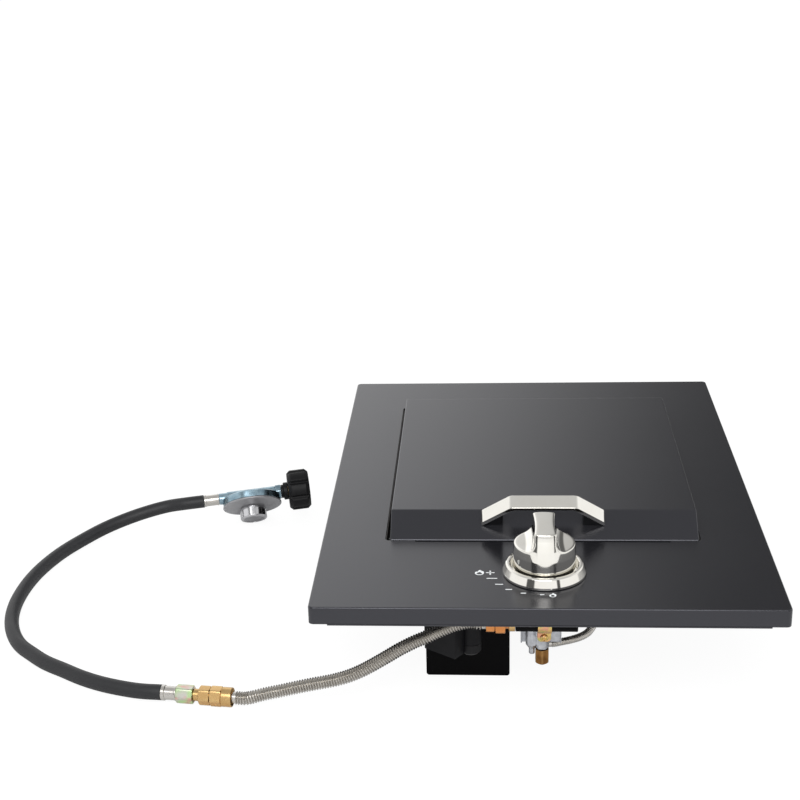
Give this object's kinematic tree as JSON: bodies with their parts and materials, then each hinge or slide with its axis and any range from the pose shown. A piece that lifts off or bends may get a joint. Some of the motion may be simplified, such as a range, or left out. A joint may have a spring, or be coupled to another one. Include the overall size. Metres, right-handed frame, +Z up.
{
  "type": "built in side burner",
  "caption": "Drop-in gas side burner: black steel top with a hinged lid over the burner bowl, control knob with valve, igniter, and a flexible gas line that ends in a regulator.",
  "frame": {"origin": "on the surface that the burner stands on, under the centre of the top panel", "axes": "+X to the right seen from the knob side, +Y to the hinge side, +Z up"},
  "size_m": [0.829, 0.62, 0.1928],
  "materials": {
    "black_enamel": "semi-gloss black enamel with a fine speckle",
    "black_steel": "satin black paint",
    "chrome": "polished chrome",
    "stainless": "drawn stainless steel",
    "galvanised": "bright galvanised sheet",
    "yellow_zinc": "yellow passivated zinc",
    "green_zinc": "iridescent green and pink zinc",
    "brass": "turned brass",
    "cast_aluminium": "die-cast aluminium",
    "cast_iron": "matt black enamelled cast iron",
    "zinc_casting": "blue-grey zinc casting",
    "grey_paint": "satin grey paint",
    "spring_steel": "plain spring steel",
    "black_plastic": "matt black plastic",
    "dark_plastic": "dark grey moulded plastic",
    "ceramic": "white glazed ceramic",
    "battery_case": "plain printed battery case",
    "rubber": "black rubber with a slight sheen"
  },
  "bodies": {
    "frame": {"top_panel": "black_enamel", "burner_bowl": "stainless", "hinge_bracket_left": "stainless", "hinge_bracket_right": "stainless", "hinge_pin_left": "stainless", "hinge_pin_right": "stainless", "lid_bumper_left": "rubber", "lid_bumper_right": "rubber", "cooking_grate": "cast_iron", "burner_body": "cast_aluminium", "burner_cap": "cast_iron", "burner_bracket": "stainless", "burner_screw": "stainless", "gas_orifice": "brass", "spark_electrode": "ceramic", "spark_wire": "black_plastic", "igniter_module": "dark_plastic", "battery": "battery_case", "heat_shield": "black_steel", "knob_bezel": "chrome", "bezel_screw_left": "stainless", "bezel_screw_right": "stainless", "stem_spring": "spring_steel", "valve_body": "cast_aluminium", "bottom_plug": "brass", "valve_cover": "galvanised", "valve_bracket": "galvanised", "gas_rail": "black_steel", "valve_clamp": "yellow_zinc", "clamp_screw": "yellow_zinc", "inlet_fitting": "brass", "inlet_nut": "brass", "outlet_tube": "stainless", "flex_connector": "stainless", "flare_nut": "brass", "hex_union": "brass", "hose_ferrule": "stainless", "gas_hose": "rubber", "regulator_body": "zinc_casting", "regulator_diaphragm": "rubber", "regulator_bonnet": "grey_paint", "bonnet_cap": "grey_paint", "regulator_ferrule": "stainless", "coupling_collar": "black_plastic", "coupling_nipple": "brass"},
    "lid_assembly": {"lid": "black_enamel", "handle_grip": "chrome", "handle_post_left": "black_plastic", "handle_post_right": "black_plastic", "handle_screw_left": "stainless", "handle_screw_right": "stainless"},
    "push_stem": {"stem_washer": "stainless"},
    "knob_assembly": {"control_knob": "chrome", "knob_clip": "spring_steel", "valve_stem": "brass"},
    "valve_cone": {"gas_plug": "brass"},
    "battery_door": {"battery_cap": "black_plastic"},
    "shutter": {"air_shutter": "stainless"},
    "hose_nut": {"swivel_nut": "green_zinc"},
    "hand_nut": {"coupling_nut": "black_plastic"}
  },
  "joints": [
    {"name": "lid_hinge", "type": "hinge", "parent": "frame", "child": "lid_assembly", "pos_m": [0, 0.204, 0.146], "axis": [-1, 0, 0], "range_deg": [0, 95]},
    {"name": "knob_push", "type": "slide", "parent": "frame", "child": "push_stem", "axis": [0, 0, -1], "range_m": [0, 0.003], "stiffness_N_per_m": 1500, "springref_m": -0.004, "deforming": ["stem_spring"]},
    {"name": "knob_turn", "type": "hinge", "parent": "push_stem", "child": "knob_assembly", "pos_m": [0, -0.235, 0.15], "axis": [0, 0, 1], "range_deg": [0, 180]},
    {"name": "cone_turn", "type": "hinge", "parent": "frame", "child": "valve_cone", "pos_m": [0, -0.235, 0.09], "axis": [0, 0, 1], "range_deg": [0, 180]},
    {"name": "battery_cap_turn", "type": "hinge", "parent": "frame", "child": "battery_door", "pos_m": [-0.0722, -0.2279, 0.056], "axis": [0, 0, 1], "range_deg": [0, 90]},
    {"name": "air_shutter_turn", "type": "hinge", "parent": "frame", "child": "shutter", "pos_m": [0, -0.1525, 0.076], "axis": [0, 1, 0], "range_deg": [-25, 25]},
    {"name": "hose_nut_turn", "type": "hinge", "parent": "frame", "child": "hose_nut", "pos_m": [-0.36175, -0.25465, 0.0102], "axis": [-0.9942, 0.108, 0], "continuous": true},
    {"name": "hand_nut_turn", "type": "hinge", "parent": "frame", "child": "hand_nut", "pos_m": [-0.29452, 0.19571, 0.03864], "axis": [0.9803, 0.1906, 0.0523], "continuous": true}
  ],
  "couplings": [
    {"joint": "cone_turn", "follows": "knob_turn", "ratio": 1}
  ]
}
